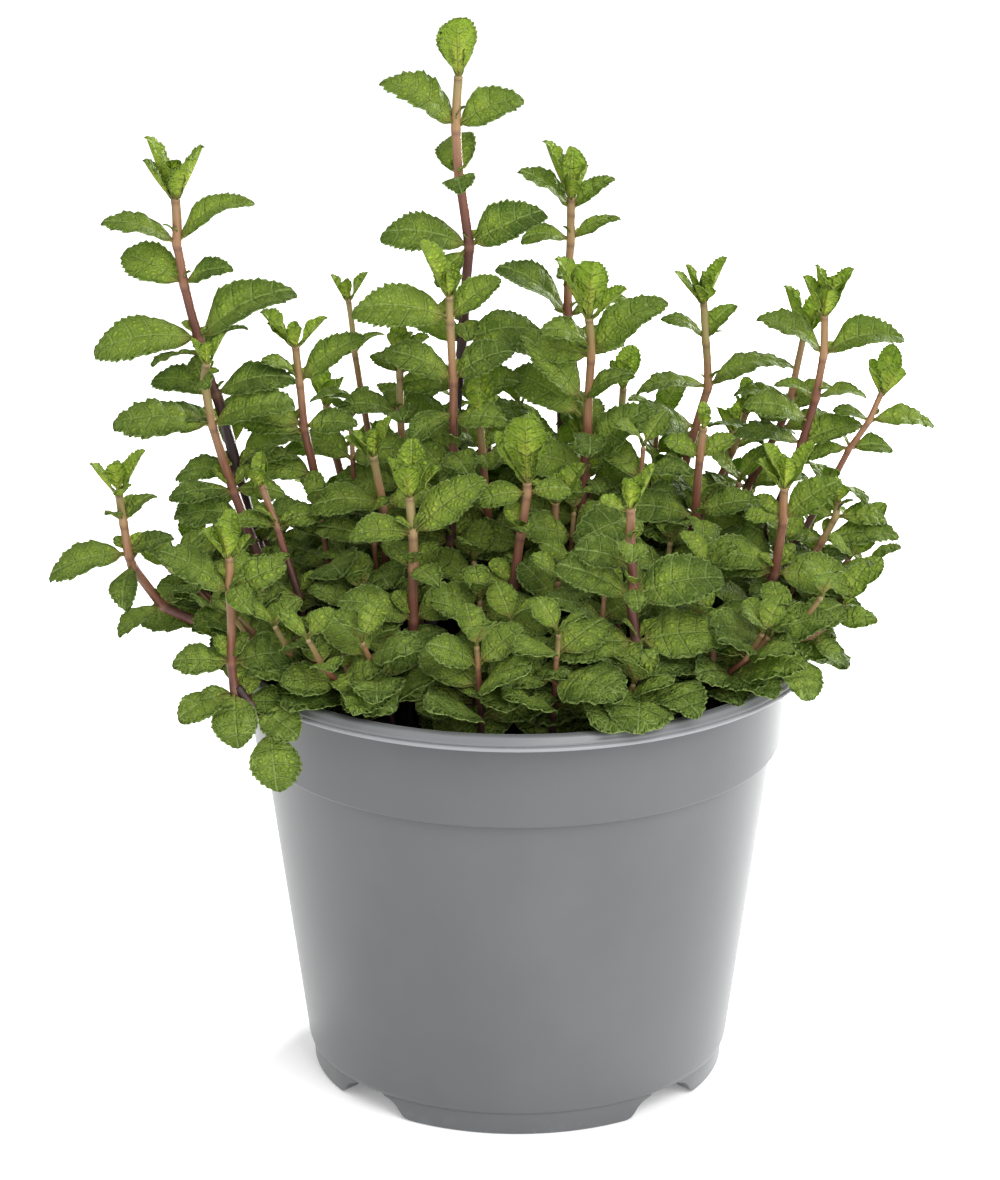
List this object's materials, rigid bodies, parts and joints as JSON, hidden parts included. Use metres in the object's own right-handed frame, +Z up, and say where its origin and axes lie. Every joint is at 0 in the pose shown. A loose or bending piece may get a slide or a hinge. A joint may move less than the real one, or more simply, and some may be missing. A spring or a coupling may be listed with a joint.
{
  "type": "potted mint plant",
  "caption": "Bushy mint plant with toothed leaves in opposite pairs on square stems, in compost in a round grey plastic nursery pot with a wide lip and four feet.",
  "frame": {"origin": "middle of the whole plant's bounding box in plan, at the level of the pot's feet", "axes": "+Z up the stems, -Y towards the side the picture shows, +X to that side's right"},
  "size_m": [0.2784, 0.19, 0.3427],
  "materials": {
    "grey_plastic": "satin",
    "compost": "matte",
    "mint_leaf": "satin"
  },
  "bodies": {
    "root": {"pot": "grey_plastic", "soil": "compost", "sprig_tall_centre": "mint_leaf", "sprig_tall_left": "mint_leaf", "sprig_right_centre_front": "mint_leaf", "sprig_right_centre_back": "mint_leaf", "sprig_front_centre": "mint_leaf", "sprig_front_right_mid": "mint_leaf", "sprig_front_left_mid": "mint_leaf", "sprig_front_right": "mint_leaf", "sprig_tall_right": "mint_leaf", "sprig_right_back": "mint_leaf", "sprig_front_left": "mint_leaf", "sprig_outer_left": "mint_leaf", "sprig_pale_left": "mint_leaf", "sprig_before_centre": "mint_leaf", "sprig_left_mid": "mint_leaf", "sprig_back_left_thin": "mint_leaf", "sprig_left_inner": "mint_leaf", "sprig_left_fore": "mint_leaf", "sprig_centre": "mint_leaf", "sprig_centre_low": "mint_leaf", "sprig_centre_right": "mint_leaf", "sprig_right_mid": "mint_leaf", "sprig_right_behind": "mint_leaf", "sprig_far_right": "mint_leaf", "sprig_right_outer": "mint_leaf", "sprig_creeping_right": "mint_leaf", "sprig_left_twin": "mint_leaf", "sprig_front_low_left": "mint_leaf", "sprig_front_low_centre": "mint_leaf", "sprig_front_low_mid": "mint_leaf", "sprig_front_low_right": "mint_leaf", "sprig_side_low_left": "mint_leaf", "sprig_side_low_right": "mint_leaf", "sprig_back_right_tip": "mint_leaf", "sprig_back_left": "mint_leaf", "sprig_back_centre": "mint_leaf", "sprig_back_right": "mint_leaf", "sprig_back_far_right": "mint_leaf", "sprig_back_far_left": "mint_leaf", "sprig_back_inner_left": "mint_leaf"}
  },
  "joints": []
}
